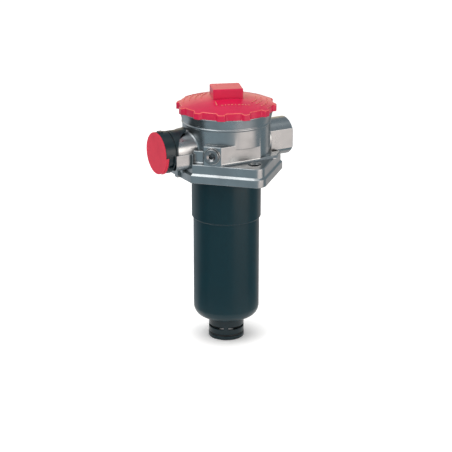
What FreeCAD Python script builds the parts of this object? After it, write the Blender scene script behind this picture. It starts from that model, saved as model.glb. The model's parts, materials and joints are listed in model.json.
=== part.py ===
import FreeCAD, Part
import os
from math import pi, sin, cos, radians, degrees, sqrt

# Tank-top return line filter, in millimetres.
# The origin is the middle of the head's mounting face, where it meets the tank lid.
# +Z is up along the filter's axis, -Y is the side with the screw plug.

# Fits that several pieces share
gap = 0.3                   # between curved faces of pieces that move
seal_gap = 0.1              # between a seal ring and the walls of its groove
half_tilt = 1 - sqrt(0.5)   # how far the middle of a quarter arc lies inside its corner

# Bowl
bowl_r = 42.0
bowl_step = 1.9             # the long lower part is smaller by this
bowl_step_z = -55.6
bowl_step_height = 2.2
bowl_bottom = -184.5
bowl_bottom_r = 13.0
bowl_wall = 2.6
bowl_floor = 3.0
bowl_neck_wall = 5.2        # thick collar at the top
bowl_neck_foot = -3.0       # where the collar starts to thicken
bowl_rim_width = 2.8        # the rim that hangs on the head's shoulder
bowl_rim_height = 6.0
bowl_slot_count = 8
bowl_slot_width = 9.0
bowl_groove_low = 4.8
bowl_groove_height = 3.4
bowl_groove_depth = 2.4
bowl_outlet_r = 19.2
bowl_spout_height = 6.0
bowl_spout_wall = 2.4
bowl_low_r = bowl_r - bowl_step
bowl_low_inner_r = bowl_low_r - bowl_wall
bowl_neck_inner_r = bowl_r - bowl_neck_wall
bowl_slot_r = bowl_r - bowl_groove_depth - 1.0
bowl_rim_r = bowl_r + bowl_rim_width
bowl_spout_top = bowl_bottom + bowl_floor + bowl_spout_height

# Head casting: bores
shoulder_z = 12.0
chamber_top = 57.0
head_top = 76.0
cover_bore_step = 2.8       # the cover's bore is wider than the chamber by this
cover_bore_chamfer = 1.2
bowl_bore_r = bowl_r + 0.4
chamber_r = bowl_rim_r + 0.4
cover_bore_r = chamber_r + cover_bore_step

# Head casting: body
body_wall = 4.7
body_foot_r = 3.0           # fillet between body and flange
bead_below_top = 13.4       # small bead under the collar
bead_r = 1.5
bead_proud = 0.95
collar_height = 11.4        # flared collar under the cover
collar_foot = 0.3
collar_flare = 3.2
collar_lip = 0.8
body_r = cover_bore_r + body_wall
bead_z = head_top - bead_below_top
collar_z = head_top - collar_height
collar_foot_r = body_r + collar_foot
collar_top_r = collar_foot_r + collar_flare

# Head casting: flange
flange_reach = 10.5         # from the body to the side of the lower plate
flange_step = 1.9           # the upper plate is smaller by this on every side
corner_step = 2.5           # and by this on the faces below the ports
flange_corner_r = 12.5
plate_low = 9.0             # height of the lower plate's side
plate_bevel = 2.5           # height of the slope between the plates
flange_top = 22.5
flange_edge_r = 1.2
flange_foot_chamfer = 0.5
face_groove_width = 3.6     # for the seal ring on the tank lid
face_groove_depth = 2.5
face_groove_wall = 7.5      # metal between the bowl's bore and this groove
flange_half = body_r + flange_reach
flange_cut = flange_half - 0.4
upper_half = flange_half - flange_step
upper_cut = flange_cut - corner_step
face_groove_r = bowl_bore_r + face_groove_wall

# Head casting: two bolts, on the corners between the ports
bolt_from_body = 9.5
bolt_angle = -41.8
bolt_hole_r = 5.5
bolt_seat_r = 8.0
bolt_seat_depth = 1.2
bolt_circle_r = body_r + bolt_from_body

# Head casting: plug block, and the flat beside it that clears the bolt head
block_half = 11.0
block_top = 45.3
block_corner_r = 1.2
block_edge_r = 0.9
block_reach = 23.2          # length of the block's slanted side
flat_angle = -43.4
flat_top = 40.0
flat_foot_r = 3.0
block_front = upper_half - 0.3
corner_flat = block_half * cos(radians(flat_angle)) - block_front * sin(radians(flat_angle))

# Head casting: ledge and wall block on the inlet side
ledge_proud = 1.3
ledge_left = -30.0
ledge_top = 37.3
ledge_edge_r = 1.0
ledge_foot_r = 2.6
ledge_side = 2.2            # slanted strip between the ledge and the plug block
wall_edge_r = 1.8
ledge_front = body_r + ledge_proud
wall_edge = upper_cut * sqrt(2) - upper_half - 0.4

# Ports, both on the flange's diagonal
inlet_angle = 225
outlet_angle = 45
port_start = 30.0           # how deep the port castings start inside the body
port_z = 34.3
neck_r = 21.0
neck_length = 31.3
neck_bore_r = 15.0
neck_root_r = 2.4
neck_base_side = 1.4        # the square base under the neck is wider than it by this
neck_base_up = 1.0          # and ends this far above the neck's lowest line
neck_base_r = 7.0
neck_base_edge_r = 0.6
rib_reach = 13.3
rib_thick = 3.2
rib_side = 12.0             # rib centre, behind the port axis
rib_low = 12.0
boss_r = 22.9
boss_length = 28.8
boss_chamfer = 0.8
boss_flat = 19.5            # axis to each of the two wrench flats
boss_flat_length = 24.0
boss_bore_r = 15.15
boss_thread_length = 20.0
boss_thread_step = 1.2
boss_mouth = 1.6
neck_end = body_r + neck_length
neck_base_half = neck_r + neck_base_side
neck_base_low = neck_r - neck_base_up
rib_end = body_r + rib_reach
boss_end = body_r + boss_length

# Head casting: small cast feet on the face below the inlet
foot_pad_width = 6.6
foot_pad_side = 1.0
foot_pad_out = 3.6
foot_pad_height = 12.0
foot_pad_edge_r = 0.8
lug_out = 1.6
lug_side = 5.5
lug_width = 2.7
lug_low = 7.6
lug_high = 20.0
lug_tilt = -28.0

# Cover
rim_height = 7.4
knob_height = 4.2
knob_count = 12
knob_width = 9.6
knob_tip_inset = 0.6        # each knob is narrower at its tip
knob_foot_spread = 0.8      # and wider at its foot
knob_tip_round = 2.0
knob_foot_round = 3.0
rim_edge_r = 1.4
cover_turn = 25.0           # how far the grip block is turned from the front
dome_rise = 9.9
dome_shoulder_r = 36.0
dome_shoulder_rise = 6.2
cover_wall = 3.0
grip_length = 34.2
grip_depth = 30.4
grip_rise = 10.8
grip_edge_r = 1.2
grip_corner_r = 1.8
skirt_depth = 15.0
skirt_wall = 3.4
skirt_groove_up = 3.0
skirt_groove_height = 2.8
skirt_groove_depth = 2.45
web_count = 8
web_thick = 2.4
hub_r = 9.0
hub_shoulder = 2.4
hub_length = 9.0
hub_roof = 2.1
hub_core_r = 5.0
clip_up = 1.6
clip_height = 1.6
clip_groove_depth = 1.2
clip_width = 3.1
clip_opening = 5.0
cover_waist_r = collar_top_r - 0.4
cover_r = cover_waist_r + knob_height
cover_rim_top = head_top + rim_height
cover_dome_top = cover_rim_top + dome_rise
grip_top = cover_dome_top + grip_rise
skirt_r = cover_bore_r - gap
skirt_low = head_top - skirt_depth
hub_shoulder_r = hub_r + hub_shoulder
hub_low = skirt_low - hub_length
hub_top = grip_top - hub_roof

# Outlet spigot
spigot_r = 21.6
spigot_length = 28.0
spigot_wall = 3.0
spigot_neck_wall = 3.4
spigot_neck_height = 17.5
spigot_barb = 0.7
spigot_barb_slope = 3.0
spigot_throat_low = 4.0     # below the bowl's bottom
spigot_throat_high = 1.5
window_count = 4
window_web = 5.9
window_turn = -75.0
window_drop = 11.7
window_height = 3.2
groove_up = 5.8
groove_width = 2.2
groove_depth = 1.7
lip_extra = 0.35
lip_height = 4.2
lip_edge = 0.8
spigot_neck_r = bowl_outlet_r - gap
spigot_neck_inner_r = spigot_neck_r - spigot_neck_wall
spigot_neck_top = bowl_bottom + spigot_neck_height
spigot_inner_r = spigot_r - spigot_wall
spigot_bottom = bowl_bottom - spigot_length
window_top = bowl_bottom - window_drop
groove_z = spigot_bottom + groove_up

# Coupling sleeve, along the inlet axis
sleeve_wall = 3.25
sleeve_ring_extra = 0.4
sleeve_mouth_lip = 0.8      # the mouth is tighter than the neck by this
sleeve_past_neck = 9.3
sleeve_tip_gap = 3.3        # between the tongue's tip and the body
sleeve_side_back = 7.0
sleeve_low_back = 3.7       # the lower half starts this far behind the neck's end
sleeve_arch_r = 18.0
sleeve_arch_wall = 1.6      # the arch stays this far below the sleeve's outside
sleeve_groove_width = 1.4
sleeve_groove_depth = 1.1
sleeve_seal_r = 1.0
tongue_tip_r = 9.6
tongue_tip_length = 6.0
tongue_low = 10.0
notch_half = 5.0
notch_length = 1.5
frame_proud = 0.45
frame_length = 9.0
frame_edge = 1.6
frame_low = -15.5
frame_high = 2.5
lug_half = 3.0
lug_length = 5.0
lug_proud = 1.1
sleeve_inner_r = neck_r + 0.35
sleeve_r = sleeve_inner_r + sleeve_wall
sleeve_ring_r = sleeve_r + sleeve_ring_extra
sleeve_mouth_r = neck_r - sleeve_mouth_lip
sleeve_arch_side = sleeve_r - sleeve_arch_wall
sleeve_end = neck_end + sleeve_past_neck
sleeve_tongue_start = body_r + sleeve_tip_gap
sleeve_side_start = neck_end - sleeve_side_back
sleeve_low_start = neck_end - sleeve_low_back
sleeve_step = neck_end + 2 * sleeve_seal_r + 2 * seal_gap
frame_start = sleeve_low_start + 0.7
frame_r = sleeve_ring_r + frame_proud

# Protective cap
cap_thick = 1.1
cap_edge_r = 0.5
cap_plug_wall = 1.6
cap_plug_length = 6.5
cap_web_half = 0.8
tab_thick = 0.75
tab_length = 2.8
tab_from = -58
tab_to = -2
cap_disc_r = sleeve_ring_r
cap_start = sleeve_end + gap
cap_disc_end = cap_start + cap_thick
cap_plug_r = sleeve_mouth_r - gap
tab_inner_r = frame_r + gap

# Screw plug
plug_x = 0.0
plug_z = port_z
plug_collar_r = 9.1
plug_collar_height = 3.4
plug_edge_r = 1.3
plug_shank_r = 5.65
plug_shank_length = 12.0
plug_socket = 6.0
plug_socket_depth = 6.0
plug_dish_r = 5.6
plug_dish_low_r = 3.2
plug_dish_depth = 1.6
plug_seal_r = 10.2
plug_seal_thick = 1.0
plug_hole_r = plug_shank_r + 0.15

# Element
element_room = 2.3          # between its caps and the bowl's collar
element_fold_inset = 1.5
element_pleat_depth = 9.0
element_above_shoulder = 4.0
element_cap_thick = 2.4
element_cap_wall = 1.2
element_cap_edge = 5.0
pleat_count = 48
pleat_thick = 1.1
core_gap = 1.4
core_wall = 1.0
core_rows = 9
core_slot_length = 9.0
core_slot_width = 6.0
core_margin = 12.0
stub_wall = 2.6
stub_length = 13.0
stub_groove_up = 3.0
stub_groove_height = 2.6
stub_groove_depth = 1.7
tower_wall = 1.0
tower_foot_r = 16.0
tower_neck_r = 13.6
tower_window = 9.0
element_cap_r = bowl_neck_inner_r - element_room
element_r = element_cap_r - element_fold_inset
element_inner_r = element_r - element_pleat_depth
element_top = shoulder_z + element_above_shoulder
element_bottom = spigot_neck_top + 2 * gap + element_cap_thick
core_r = element_inner_r - core_gap
stub_r = spigot_neck_inner_r - 2 * gap
stub_bottom = spigot_neck_top - stub_length
stub_groove_r = stub_r - stub_groove_depth

# Bypass valve
valve_seat_r = 9.0
valve_disc_r = 11.0
valve_disc_thick = 1.6
valve_stem_r = 2.1
cage_r = 14.0
cage_wall = 1.4
cage_floor = 2.0
cage_depth = 40.0
cage_guide_r = 4.0
cage_guide_height = 10.0
cage_window = 10.0
spring_r = 7.4
spring_wire_r = 0.6
spring_turns = 6
cage_bottom = element_top - cage_depth
cage_inner_r = cage_r - cage_wall
cage_guide_bore = valve_stem_r + gap


# General helpers

def vec(x, y, z):
    return FreeCAD.Vector(x, y, z)


def closed_face(points):
    return Part.Face(Part.makePolygon(points + [points[0]]))


def prism(points, low, high):
    face = closed_face([vec(x, y, low) for x, y in points])
    return face.extrude(vec(0, 0, high - low))


def revolved(face):
    return face.revolve(vec(0, 0, 0), vec(0, 0, 1), 360)


def tube_profile(points):
    """Turn a closed outline of (radius, height) points about the Z axis."""
    return revolved(closed_face([vec(r, 0, z) for r, z in points]))


def disc(radius, low, high):
    return Part.makeCylinder(radius, high - low, vec(0, 0, low))


def ring(outer, inner, low, high):
    return disc(outer, low, high).cut(disc(inner, low - 1, high + 1))


def seal_between(inner_r, outer_r, z):
    """Seal ring that fills a groove from its floor to the wall it seals against."""
    wire_r = (outer_r - inner_r) / 2 - seal_gap
    return Part.makeTorus((outer_r + inner_r) / 2, wire_r, vec(0, 0, z), vec(0, 0, 1))


def turned(shape, angle):
    copy = shape.copy()
    copy.rotate(vec(0, 0, 0), vec(0, 0, 1), angle)
    return copy


def fuse_all(shapes):
    body = shapes[0]
    for shape in shapes[1:]:
        body = body.fuse(shape)
    return body.removeSplitter()


def to_port(shape, angle):
    """Lay a shape built along +X at height 0 onto a port axis."""
    copy = turned(shape, angle)
    copy.translate(vec(0, 0, port_z))
    return copy


def bar(radius, start, end):
    """Cylinder along +X, the local direction of a port."""
    return Part.makeCylinder(radius, end - start, vec(start, 0, 0), vec(1, 0, 0))


def pipe(outer, inner, start, end):
    return bar(outer, start, end).cut(bar(inner, start - 1, end + 1))


def box(x0, x1, y0, y1, z0, z1):
    return Part.makeBox(x1 - x0, y1 - y0, z1 - z0, vec(x0, y0, z0))


def peg(radius, x, y, z, length):
    """Cylinder along +Y that starts at that point."""
    return Part.makeCylinder(radius, length, vec(x, y, z), vec(0, 1, 0))


def cove(start, end, z, radius):
    """Concave fillet strip along the foot of a wall, on the right of the line."""
    run = vec(end[0] - start[0], end[1] - start[1], 0)
    along = vec(run.x, run.y, 0).normalize()
    out = vec(along.y, -along.x, 0)
    corner = vec(start[0], start[1], z)
    foot = corner + out * radius
    top = corner + vec(0, 0, radius)
    middle = corner + (out + vec(0, 0, 1)) * (radius * half_tilt)
    edges = [
        Part.makeLine(corner, foot),
        Part.Arc(foot, middle, top).toShape(),
        Part.makeLine(top, corner),
    ]
    return Part.Face(Part.Wire(edges)).extrude(run)


# Head casting

def flange_outline(half, cut, corner_r, z):
    """Square with two rounded corners and two 45 degree corners facing the ports."""
    near = cut * sqrt(2) - half
    inner = half - corner_r
    mid = half - corner_r * half_tilt
    arc_front = Part.Arc(vec(inner, -half, z), vec(mid, -mid, z), vec(half, -inner, z))
    arc_back = Part.Arc(vec(-inner, half, z), vec(-mid, mid, z), vec(-half, inner, z))
    edges = [
        Part.makeLine(vec(-near, -half, z), vec(inner, -half, z)), arc_front.toShape(),
        Part.makeLine(vec(half, -inner, z), vec(half, near, z)),
        Part.makeLine(vec(half, near, z), vec(near, half, z)),
        Part.makeLine(vec(near, half, z), vec(-inner, half, z)), arc_back.toShape(),
        Part.makeLine(vec(-half, inner, z), vec(-half, -near, z)),
        Part.makeLine(vec(-half, -near, z), vec(-near, -half, z)),
    ]
    return Part.Wire(edges)


def flange_plates():
    upper_corner_r = flange_corner_r - 1.0
    low_wire = flange_outline(flange_half, flange_cut, flange_corner_r, 0)
    low = Part.Face(low_wire).extrude(vec(0, 0, plate_low))
    slope = Part.makeLoft([
        flange_outline(flange_half, flange_cut, flange_corner_r, plate_low),
        flange_outline(upper_half, upper_cut, upper_corner_r, plate_low + plate_bevel),
    ], True, True)
    upper_wire = flange_outline(upper_half, upper_cut, upper_corner_r, plate_low)
    upper = Part.Face(upper_wire).extrude(vec(0, 0, flange_top - plate_low))
    rim = [e for e in upper.Edges if e.BoundBox.ZMin > flange_top - 0.01]
    upper = upper.makeFillet(flange_edge_r, rim)
    under = [e for e in low.Edges if e.BoundBox.ZMax < 0.01]
    low = low.makeChamfer(flange_foot_chamfer, under)
    return fuse_all([low, slope, upper])


def body_blank():
    """Round body with its foot fillet, bead and flared collar, turned in one profile."""
    foot_mid = body_foot_r * half_tilt
    low = flange_top - 4
    foot_r = body_r + body_foot_r
    points = [
        vec(0, 0, low), vec(foot_r, 0, low), vec(foot_r, 0, flange_top),
        vec(body_r, 0, flange_top + body_foot_r), vec(body_r, 0, bead_z - bead_r),
        vec(body_r + 0.2, 0, bead_z + bead_r), vec(collar_foot_r, 0, collar_z),
        vec(collar_top_r - 0.6, 0, head_top - 2 * collar_lip), vec(collar_top_r, 0, head_top - collar_lip),
        vec(collar_top_r, 0, head_top), vec(0, 0, head_top),
    ]
    foot_arc = Part.Arc(points[2], vec(body_r + foot_mid, 0, flange_top + foot_mid), points[3])
    bead_arc = Part.Arc(points[4], vec(body_r + bead_proud, 0, bead_z), points[5])
    edges = [
        Part.makeLine(points[0], points[1]), Part.makeLine(points[1], points[2]), foot_arc.toShape(),
        Part.makeLine(points[3], points[4]), bead_arc.toShape(),
    ]
    for i in range(5, 10):
        edges.append(Part.makeLine(points[i], points[i + 1]))
    edges.append(Part.makeLine(points[10], points[0]))
    return revolved(Part.Face(Part.Wire(edges)))


def flat_cutter():
    """Slab beyond the slanted flat, below its ledge."""
    slab = box(corner_flat, corner_flat + body_r, -body_r, body_r, flange_top, flat_top)
    return turned(slab, flat_angle)


def slanted_side(distance):
    """Point on the block's slanted side, that far from its front corner."""
    direction = radians(flat_angle + 90)
    return (block_half + distance * cos(direction), -block_front + distance * sin(direction))


def plug_block():
    back = slanted_side(block_reach)
    points = [(-block_half, -block_front), (block_half, -block_front), back,
              (0, -body_r / 2), (-block_half, -body_r / 2)]
    block = prism(points, flange_top - 2, block_top)
    upright = [e for e in block.Edges if e.BoundBox.ZLength > 5 and e.BoundBox.YMax < -block_front + 0.1]
    block = block.makeFillet(block_corner_r, upright)
    top_edges = []
    for e in block.Edges:
        b = e.BoundBox
        if b.ZMin > block_top - 0.1 and b.YMax < back[1] + 0.1:
            top_edges.append(e)
    return block.makeFillet(block_edge_r, top_edges)


def flat_foot():
    """Concave fillet along the foot of the block's slanted side and the flat."""
    strip = cove(slanted_side(1.0), slanted_side(2 * body_r), flange_top, flat_foot_r)
    return strip.common(disc(body_r + body_foot_r + bolt_from_body, 0, block_top))


def ledge_block():
    block = box(ledge_left, -block_half + 2, -ledge_front, -body_r / 2, flange_top - 2, ledge_top)
    edges = []
    for e in block.Edges:
        b = e.BoundBox
        if b.YMax < -ledge_front + 0.1 and b.ZMin > ledge_top - 0.1:
            edges.append(e)
    block = block.makeFillet(ledge_edge_r, edges)
    foot = cove((ledge_left, -ledge_front), (-block_half, -ledge_front), flange_top, ledge_foot_r)
    side = prism([(-block_half, -ledge_front), (-block_half, -ledge_front - ledge_side),
                  (-block_half - ledge_side, -ledge_front)], flange_top, ledge_top - 1)
    return fuse_all([block, foot, side])


def wall_block():
    """Lower half of the port's root, closed by a face flush with the flange's corner face."""
    front = -upper_half + 0.1
    corner = -wall_edge
    points = [(corner, front), (front, corner), (corner, corner)]
    block = prism(points, flange_top - 2, port_z)
    edges = []
    for e in block.Edges:
        b = e.BoundBox
        if b.ZMin > port_z - 0.1 and b.XMax < corner + 0.1 and b.YMin < front + 0.1:
            edges.append(e)
    return block.makeFillet(wall_edge_r, edges)


def inlet_neck():
    """Round neck with its upper root fillet and the rib behind it."""
    reach = neck_r + 5
    barrel = disc(body_r, -reach, reach)
    neck = bar(neck_r, port_start, neck_end)
    rooted = barrel.fuse(neck)
    seam = [e for e in rooted.Edges if e.BoundBox.ZMin < -neck_r + 0.1 and e.BoundBox.XMax < body_r + 0.1
            and e.BoundBox.XMin > port_start and e.BoundBox.ZMax > neck_r - 0.1]
    rooted = rooted.makeFillet(neck_root_r, seam)
    upper = rooted.common(box(port_start, neck_end, -body_r, body_r, 0, neck_r + 3))
    rib_high = neck_r + 3.6
    points = [(port_start, rib_low), (rib_end, rib_low), (rib_end, neck_r - 1.0),
              (rib_end - 5.0, neck_r + 1.4), (body_r - 12.7, rib_high), (port_start, rib_high)]
    rib = closed_face([vec(x, -rib_thick / 2 - rib_side, z) for x, z in points])
    rib = rib.extrude(vec(0, rib_thick, 0))
    return to_port(fuse_all([neck, upper, rib]), inlet_angle)


def neck_base():
    """Square base that the lower half of the neck is cast into."""
    end = sleeve_low_start - 1.3
    base = box(port_start, end, -neck_base_half, neck_base_half, -neck_base_low, -gap)
    low = [e for e in base.Edges if e.BoundBox.ZMax < -neck_base_low + 0.1 and e.BoundBox.XLength > 5]
    base = base.makeFillet(neck_base_r, low)
    high = [e for e in base.Edges if e.BoundBox.ZMin > -gap - 0.1 and e.BoundBox.XLength > 5]
    return to_port(base.makeFillet(neck_base_edge_r, high), inlet_angle)


def outlet_boss():
    boss = bar(boss_r, port_start, boss_end)
    rim = [e for e in boss.Edges if e.BoundBox.XMin > boss_end - 0.01]
    boss = boss.makeChamfer(boss_chamfer, rim)
    start = boss_end - boss_flat_length
    slab = box(start, boss_end + 1, boss_flat, boss_r + 1, -boss_r, boss_r)
    boss = boss.cut(slab).cut(slab.mirror(vec(0, 0, 0), vec(0, 1, 0)))
    return to_port(boss, outlet_angle)


def foot_pads():
    """Small cast pad and crossed lugs on the corner face below the inlet."""
    inside = flange_cut - 4
    out = flange_cut + foot_pad_out
    pad = box(inside, out, -foot_pad_width - foot_pad_side, -foot_pad_side, 0, foot_pad_height)
    pad = pad.makeFillet(foot_pad_edge_r, [e for e in pad.Edges if e.BoundBox.XMin > out - 0.1])
    lug = box(inside, flange_cut + lug_out, lug_side, lug_side + lug_width, lug_low, lug_high)
    slant = lug.copy()
    middle = vec(flange_cut, lug_side + lug_width / 2, (lug_low + lug_high) / 2)
    slant.rotate(middle, vec(1, 0, 0), lug_tilt)
    return turned(fuse_all([pad, lug, slant]), inlet_angle)


def bolt_drill():
    hole = disc(bolt_hole_r, -1, flange_top + 1)
    seat = disc(bolt_seat_r, flange_top - bolt_seat_depth, flange_top + 8)
    drill = hole.fuse(seat)
    drill.translate(vec(bolt_circle_r, 0, 0))
    return drill


def filter_head():
    blocks = [plug_block(), ledge_block(), wall_block(), flat_foot()]
    head = fuse_all([flange_plates(), body_blank().cut(flat_cutter())] + blocks)
    head = fuse_all([head, inlet_neck(), neck_base(), outlet_boss(), foot_pads()])
    mouth_r = cover_bore_r + cover_bore_chamfer
    thread_start = boss_end - boss_thread_length
    cuts = [
        disc(bowl_bore_r, -1, shoulder_z + 1), disc(chamber_r, shoulder_z, chamber_top + 1),
        disc(cover_bore_r, chamber_top, head_top + 1),
        Part.makeCone(cover_bore_r, mouth_r, cover_bore_chamfer, vec(0, 0, head_top - cover_bore_chamfer)),
        to_port(bar(neck_bore_r, 20, neck_end + 1), inlet_angle),
        to_port(bar(boss_bore_r, thread_start, boss_end + 1), outlet_angle),
        to_port(bar(boss_bore_r - boss_thread_step, 20, boss_end), outlet_angle),
        to_port(Part.makeCone(boss_bore_r, boss_bore_r + boss_mouth, boss_mouth,
                              vec(boss_end - boss_mouth, 0, 0), vec(1, 0, 0)), outlet_angle),
        turned(bolt_drill(), bolt_angle), turned(bolt_drill(), bolt_angle + 180),
        peg(plug_hole_r, plug_x, -block_front - 1, plug_z, block_front - chamber_r + 11),
        ring(face_groove_r + face_groove_width, face_groove_r, -1, face_groove_depth),
    ]
    for cutter in cuts:
        head = head.cut(cutter)
    return head.removeSplitter()


def flange_seal():
    wire_r = (face_groove_depth - seal_gap) / 2
    mid_r = face_groove_r + face_groove_width / 2
    return Part.makeTorus(mid_r, wire_r, vec(0, 0, face_groove_depth / 2), vec(0, 0, 1))


# Cover

def on_circle(radius, angle, z):
    return vec(radius * cos(angle), radius * sin(angle), z)


def is_upright(edge, radius):
    """True for an upright edge at that distance from the main axis."""
    b = edge.BoundBox
    return b.ZLength > 5 and abs(sqrt(b.Center.x ** 2 + b.Center.y ** 2) - radius) < 0.05


def knob_prism(low, high):
    """Rim with twelve knobs between hollow waists, its upright corners rounded."""
    edges = []
    step = 2 * pi / knob_count
    half_tip = (knob_width / 2 - knob_tip_inset) / cover_r
    half_foot = (knob_width / 2 + knob_foot_spread) / cover_waist_r
    for i in range(knob_count):
        mid = (i + 0.5) * step
        foot_in = on_circle(cover_waist_r, mid - half_foot, low)
        tip_in = on_circle(cover_r, mid - half_tip, low)
        tip_out = on_circle(cover_r, mid + half_tip, low)
        foot_out = on_circle(cover_waist_r, mid + half_foot, low)
        waist = on_circle(cover_waist_r, mid + step / 2, low)
        next_foot = on_circle(cover_waist_r, mid + step - half_foot, low)
        edges.append(Part.makeLine(foot_in, tip_in))
        edges.append(Part.Arc(tip_in, on_circle(cover_r, mid, low), tip_out).toShape())
        edges.append(Part.makeLine(tip_out, foot_out))
        edges.append(Part.Arc(foot_out, waist, next_foot).toShape())
    rim = Part.Face(Part.Wire(edges)).extrude(vec(0, 0, high - low))
    rim = rim.makeFillet(knob_tip_round, [e for e in rim.Edges if is_upright(e, cover_r)])
    return rim.makeFillet(knob_foot_round, [e for e in rim.Edges if is_upright(e, cover_waist_r)])


def dome_blank(drop, radius, low):
    """Solid under the domed top, lowered by drop and cut off at radius."""
    top = vec(0, 0, cover_dome_top - drop)
    shoulder = vec(dome_shoulder_r, 0, cover_rim_top + dome_shoulder_rise - drop)
    edge = vec(cover_r, 0, cover_rim_top - drop)
    corner = vec(cover_r, 0, low)
    middle = vec(0, 0, low)
    edges = [
        Part.makeLine(middle, corner), Part.makeLine(corner, edge),
        Part.Arc(edge, shoulder, top).toShape(), Part.makeLine(top, middle),
    ]
    return revolved(Part.Face(Part.Wire(edges))).common(disc(radius, low - 1, cover_dome_top + 1))


def grip_block(inset, top, low):
    half_x = grip_length / 2 - inset
    half_y = grip_depth / 2 - inset
    return box(-half_x, half_x, -half_y, half_y, low, top)


def cover_shell():
    """Knobbed rim, domed top and grip block, hollow inside."""
    shell = dome_blank(0, cover_r, head_top).common(knob_prism(head_top, grip_top))
    rim = [e for e in shell.Edges if cover_rim_top - 1 < e.BoundBox.ZMin < cover_rim_top + 3]
    shell = shell.makeFillet(rim_edge_r, rim)
    grip = grip_block(0, grip_top, head_top + rim_height)
    grip = grip.makeFillet(grip_corner_r, [e for e in grip.Edges if e.BoundBox.ZLength > 5])
    grip = grip.makeFillet(grip_edge_r, [e for e in grip.Edges if e.BoundBox.ZMin > grip_top - 0.1])
    hollow = dome_blank(cover_wall, skirt_r - skirt_wall - 0.7, head_top - 6)
    grip_hollow = grip_block(cover_wall, grip_top - cover_wall, head_top)
    return shell.fuse(grip).cut(hollow).cut(grip_hollow)


def cover_skirt():
    """Round skirt that screws into the head, with the groove of its seal ring."""
    skirt = ring(skirt_r, skirt_r - skirt_wall, skirt_low, head_top + 2)
    low = skirt_low + skirt_groove_up
    return skirt.cut(ring(skirt_r + 1, skirt_r - skirt_groove_depth, low, low + skirt_groove_height))


def cover_hub():
    """Middle stem that carries the element, with the groove of its clip."""
    groove_r = hub_r - clip_groove_depth
    clip_low = hub_low + clip_up
    clip_high = clip_low + clip_height
    hub = tube_profile([
        (0, hub_low), (hub_r - 1, hub_low), (hub_r, hub_low + 1), (hub_r, clip_low),
        (groove_r, clip_low), (groove_r, clip_high), (hub_r, clip_high),
        (hub_r, skirt_low), (hub_shoulder_r, skirt_low), (hub_shoulder_r, hub_top), (0, hub_top),
    ])
    return hub


def cover_webs():
    reach = skirt_r - skirt_wall / 2
    web = box(hub_r - 1, reach, -web_thick / 2, web_thick / 2, head_top - 2, cover_dome_top)
    inside = dome_blank(1.0, reach, head_top - 6)
    return [turned(web, i * 360 / web_count).common(inside) for i in range(web_count)]


def cover():
    whole = fuse_all([cover_shell(), cover_skirt(), cover_hub()] + cover_webs())
    return turned(whole.cut(disc(hub_core_r, hub_low - 1, hub_top)), cover_turn)


def cover_seal():
    z = skirt_low + skirt_groove_up + skirt_groove_height / 2
    return seal_between(skirt_r - skirt_groove_depth, cover_bore_r, z)


def hub_clip():
    low = hub_low + clip_up + seal_gap
    high = low + clip_height - 2 * seal_gap
    inner_r = hub_r - clip_groove_depth + seal_gap
    clip = ring(inner_r + clip_width, inner_r, low, high)
    return clip.cut(box(0, 2 * hub_r, -clip_opening / 2, clip_opening / 2, low - 1, high + 1))


# Bowl and outlet

def filter_bowl():
    top = shoulder_z + bowl_rim_height
    floor = bowl_bottom + bowl_floor
    groove_high = bowl_groove_low + bowl_groove_height
    groove_r = bowl_r - bowl_groove_depth
    inner_round = bowl_bottom_r - bowl_wall
    step_low = bowl_step_z - bowl_step_height
    outer = [
        vec(bowl_neck_inner_r, 0, top), vec(bowl_rim_r, 0, top), vec(bowl_rim_r, 0, shoulder_z),
        vec(bowl_r, 0, shoulder_z), vec(bowl_r, 0, groove_high), vec(groove_r, 0, groove_high),
        vec(groove_r, 0, bowl_groove_low), vec(bowl_r, 0, bowl_groove_low),
        vec(bowl_r, 0, bowl_step_z), vec(bowl_low_r, 0, step_low),
        vec(bowl_low_r, 0, bowl_bottom + bowl_bottom_r),
    ]
    outer_mid = vec(bowl_low_r - bowl_bottom_r * half_tilt, 0, bowl_bottom + bowl_bottom_r * half_tilt)
    spout = [
        vec(bowl_low_r - bowl_bottom_r, 0, bowl_bottom), vec(bowl_outlet_r, 0, bowl_bottom),
        vec(bowl_outlet_r, 0, bowl_spout_top), vec(bowl_outlet_r + bowl_spout_wall, 0, bowl_spout_top),
        vec(bowl_outlet_r + bowl_spout_wall, 0, floor), vec(bowl_low_inner_r - inner_round, 0, floor),
    ]
    inner_mid = vec(bowl_low_inner_r - inner_round * half_tilt, 0, floor + inner_round * half_tilt)
    inner = [
        vec(bowl_low_inner_r, 0, floor + inner_round), vec(bowl_low_inner_r, 0, step_low - 1.8),
        vec(bowl_r - bowl_wall, 0, bowl_step_z - 1), vec(bowl_r - bowl_wall, 0, bowl_neck_foot),
        vec(bowl_neck_inner_r, 0, bowl_neck_foot + 3.5), outer[0],
    ]
    edges = [Part.makeLine(a, b) for a, b in zip(outer, outer[1:])]
    edges.append(Part.Arc(outer[-1], outer_mid, spout[0]).toShape())
    edges += [Part.makeLine(a, b) for a, b in zip(spout, spout[1:])]
    edges.append(Part.Arc(spout[-1], inner_mid, inner[0]).toShape())
    edges += [Part.makeLine(a, b) for a, b in zip(inner, inner[1:])]
    bowl = revolved(Part.Face(Part.Wire(edges)))
    # Slots in the thick collar let the oil down past the element's upper cap
    half = bowl_slot_width / 2
    slot = box(bowl_neck_inner_r - 1.6, bowl_slot_r, -half, half, bowl_neck_foot - 1, top + 1)
    for i in range(bowl_slot_count):
        bowl = bowl.cut(turned(slot, (i + 0.5) * 360 / bowl_slot_count))
    return bowl


def bowl_seal():
    z = bowl_groove_low + bowl_groove_height / 2
    return seal_between(bowl_r - bowl_groove_depth, bowl_bore_r, z)


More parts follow.
